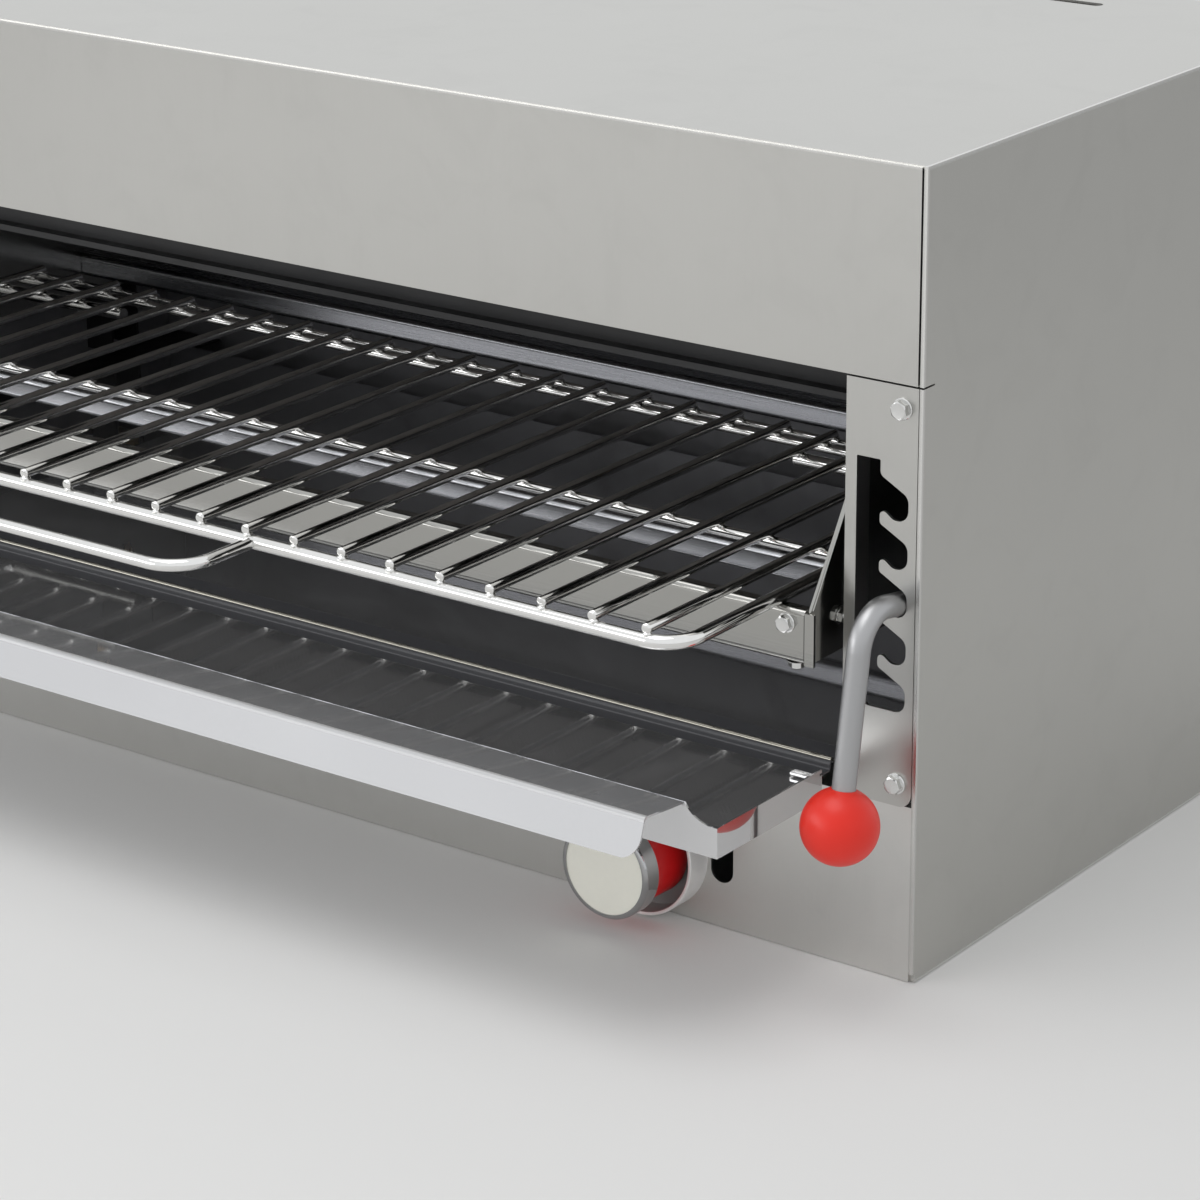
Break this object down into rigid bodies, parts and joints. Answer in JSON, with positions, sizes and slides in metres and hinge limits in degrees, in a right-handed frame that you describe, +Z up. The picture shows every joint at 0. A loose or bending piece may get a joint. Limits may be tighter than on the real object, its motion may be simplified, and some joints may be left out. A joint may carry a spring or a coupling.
{
  "type": "salamander grill",
  "caption": "Countertop gas salamander grill: open-fronted steel cabinet with overhead burner, lever-lifted wire rack, pull-out drip pan and gas knob.",
  "frame": {"origin": "centre of the base's underside, midway between the cabinet's front and back planes", "axes": "+X to the right seen from the front, +Y to the back, +Z up"},
  "size_m": [0.9211, 0.6495, 0.445],
  "materials": {
    "satin_stainless": "satin",
    "pan_stainless": "bright sheet",
    "dark_liner": "heat-darkened",
    "burner_steel": "heat-darkened",
    "ceramic": "matt",
    "chrome": "polished",
    "zinc": "zinc plated",
    "brass": "turned",
    "black_pipe": "black",
    "aluminium": "mill",
    "red_plastic": "gloss",
    "dark_red": "gloss",
    "knob_ivory": "polished, cream"
  },
  "bodies": {
    "cabinet": {"side_panel_left": "satin_stainless", "side_panel_right": "satin_stainless", "base_panel": "satin_stainless", "top_panel": "satin_stainless", "back_panel": "satin_stainless", "upper_front_panel": "satin_stainless", "control_panel": "satin_stainless", "side_liner_left": "dark_liner", "side_liner_right": "dark_liner", "back_liner": "dark_liner", "corner_post_left": "satin_stainless", "corner_post_right": "satin_stainless", "notch_plate": "satin_stainless", "plain_plate": "satin_stainless", "plate_bolts": "zinc", "burner_body": "burner_steel", "burner_tiles": "ceramic", "burner_hangers": "burner_steel", "gas_valve": "brass", "gas_pipe": "black_pipe", "gas_inlet": "brass", "feed_tube": "aluminium", "knob_bezel": "chrome", "pan_runner_left": "satin_stainless", "pan_runner_right": "satin_stainless", "rack_track_left": "satin_stainless", "rack_track_right": "satin_stainless"},
    "carriage": {"rack_cheek_left": "satin_stainless", "rack_cheek_right": "satin_stainless", "front_rail": "satin_stainless", "mid_rail": "satin_stainless", "rear_rail": "satin_stainless", "rack_bolts": "zinc", "guide_shoes_left": "brass", "guide_shoes_right": "brass", "handle_bracket": "satin_stainless", "handle_lever": "chrome", "handle_ball": "red_plastic"},
    "grid": {"grid_frame": "chrome", "grid_wires": "chrome", "cross_rods": "chrome", "grid_pull": "chrome"},
    "pan": {"drip_pan": "pan_stainless"},
    "knob": {"knob_skirt": "dark_red", "knob_cap": "chrome", "knob_face": "knob_ivory", "valve_stem": "zinc"}
  },
  "joints": [
    {"name": "rack_lift", "type": "slide", "parent": "cabinet", "child": "carriage", "axis": [0, 0, 1], "range_m": [-0.0524, 0.0524], "deforming": ["handle_lever"]},
    {"name": "grid_slide", "type": "slide", "parent": "carriage", "child": "grid", "axis": [0, 1, 0], "range_m": [-0.05, 0.08]},
    {"name": "pan_slide", "type": "slide", "parent": "cabinet", "child": "pan", "axis": [0, -1, 0], "range_m": [0, 0.3]},
    {"name": "knob_turn", "type": "hinge", "parent": "cabinet", "child": "knob", "pos_m": [0.2868, -0.25, 0.0384], "axis": [0, 1, 0], "range_deg": [0, 90]}
  ]
}
